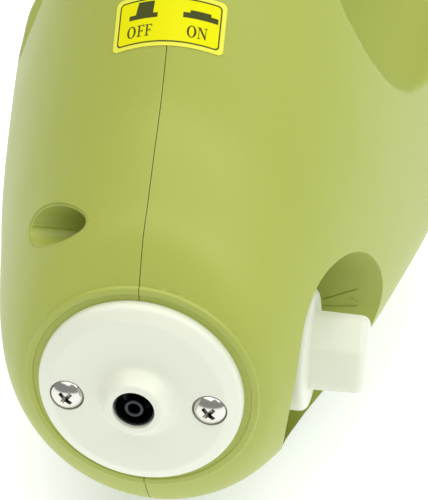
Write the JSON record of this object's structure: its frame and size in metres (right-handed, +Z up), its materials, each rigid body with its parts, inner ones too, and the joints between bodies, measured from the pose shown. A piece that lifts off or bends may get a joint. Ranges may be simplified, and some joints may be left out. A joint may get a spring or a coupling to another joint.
{
  "type": "mini cultivator",
  "caption": "Hand-held cordless mini cultivator: clamshell body with closed D-handle, charge socket in the tail, side selector, push switch, geared motor and curved tine wheels.",
  "frame": {"origin": "under the middle of the machine, on the surface it rests on", "axes": "+Z up, +Y forward from the tail plate towards the tines, +X towards the side with the selector knob"},
  "size_m": [0.1, 0.266, 0.145],
  "materials": {
    "green_shell": "fine spark-eroded",
    "green_guard": "fine spark-eroded",
    "white_trim": "satin moulded",
    "nickel_screws": "bright",
    "black_plastic": "satin moulded",
    "socket_metal": "plated",
    "label_film": "printed film",
    "switch_white": "moulded",
    "shaft_steel": "turned",
    "cell_sleeve": "shrink sleeve",
    "nickel_strip": "rolled strip",
    "board_laminate": "solder mask",
    "board_components": "moulded",
    "motor_steel": "zinc plated",
    "magnet_ferrite": "sintered",
    "rotor_winding": "enamelled wire",
    "nylon_gear": "moulded",
    "bronze_bush": "sintered",
    "case_plastic": "glass-filled nylon",
    "seal_rubber": "moulded",
    "tine_steel": "dark powder coat"
  },
  "bodies": {
    "body": {"left_shell": "green_shell", "right_shell": "green_shell", "shell_screws": "nickel_screws", "tail_plate": "white_trim", "tail_plate_screws": "nickel_screws", "charge_socket": "black_plastic", "socket_pin": "socket_metal", "socket_terminals": "socket_metal", "label": "label_film", "button_bezel": "white_trim", "latch_switch": "black_plastic", "selector_switch": "black_plastic", "selector_nut": "nickel_screws", "cell_left": "cell_sleeve", "cell_right": "cell_sleeve", "cell_top": "cell_sleeve", "cell_holder_rear": "black_plastic", "cell_holder_front": "black_plastic", "cell_links": "nickel_strip", "control_board": "board_laminate", "board_parts": "board_components", "motor_case": "motor_steel", "motor_end_cap": "black_plastic", "motor_magnets": "magnet_ferrite", "ring_gear": "nylon_gear", "carrier_bush": "bronze_bush", "gear_case_left": "case_plastic", "gear_case_right": "case_plastic", "gear_case_screws": "nickel_screws", "shaft_bush_left": "bronze_bush", "shaft_bush_right": "bronze_bush", "shaft_seal_left": "seal_rubber", "shaft_seal_right": "seal_rubber", "tine_guard": "green_guard", "guard_screws": "nickel_screws", "rest_foot": "seal_rubber"},
    "motor_rotor_assembly": {"motor_rotor": "rotor_winding", "motor_shaft": "shaft_steel", "sun_gear": "shaft_steel"},
    "carrier_assembly": {"planet_carrier": "shaft_steel", "drive_pinion": "shaft_steel"},
    "planet_one": {"planet_gear_1": "nylon_gear"},
    "planet_two": {"planet_gear_2": "nylon_gear"},
    "planet_three": {"planet_gear_3": "nylon_gear"},
    "tine_rotor": {"tine_shaft": "shaft_steel", "crown_gear": "shaft_steel", "tine_wheel_1": "tine_steel", "tine_wheel_2": "tine_steel", "tine_wheel_3": "tine_steel", "tine_wheel_4": "tine_steel", "wheel_spacers": "white_trim", "shaft_clips": "shaft_steel"},
    "selector": {"selector_knob": "white_trim", "selector_shaft": "shaft_steel"},
    "button": {"push_button": "white_trim", "switch_plunger": "switch_white"}
  },
  "joints": [
    {"name": "tine_spin", "type": "hinge", "parent": "body", "child": "tine_rotor", "pos_m": [0, 0.08596, 0.042], "axis": [1, 0, 0], "continuous": true},
    {"name": "carrier_spin", "type": "hinge", "parent": "body", "child": "carrier_assembly", "pos_m": [0, 0.04996, 0.042], "axis": [0, 1, 0], "continuous": true},
    {"name": "motor_spin", "type": "hinge", "parent": "body", "child": "motor_rotor_assembly", "pos_m": [0, 0.01396, 0.042], "axis": [0, 1, 0], "continuous": true},
    {"name": "planet_one_spin", "type": "hinge", "parent": "carrier_assembly", "child": "planet_one", "pos_m": [0.0105, 0.04446, 0.042], "axis": [0, 1, 0], "continuous": true},
    {"name": "planet_two_spin", "type": "hinge", "parent": "carrier_assembly", "child": "planet_two", "pos_m": [-0.00525, 0.04446, 0.03291], "axis": [0, 1, 0], "continuous": true},
    {"name": "planet_three_spin", "type": "hinge", "parent": "carrier_assembly", "child": "planet_three", "pos_m": [-0.00525, 0.04446, 0.05109], "axis": [0, 1, 0], "continuous": true},
    {"name": "selector_turn", "type": "hinge", "parent": "body", "child": "selector", "pos_m": [0.028, -0.10254, 0.0403], "axis": [1, 0, 0], "range_deg": [0, 68]},
    {"name": "button_press", "type": "slide", "parent": "body", "child": "button", "axis": [0, 0.788, -0.6157], "range_m": [0, 0.003], "stiffness_N_per_m": 300, "springref_m": -0.003}
  ],
  "couplings": [
    {"joint": "carrier_spin", "follows": "tine_spin", "ratio": 4},
    {"joint": "motor_spin", "follows": "tine_spin", "ratio": 20},
    {"joint": "planet_one_spin", "follows": "tine_spin", "ratio": -10.667},
    {"joint": "planet_two_spin", "follows": "tine_spin", "ratio": -10.667},
    {"joint": "planet_three_spin", "follows": "tine_spin", "ratio": -10.667}
  ]
}
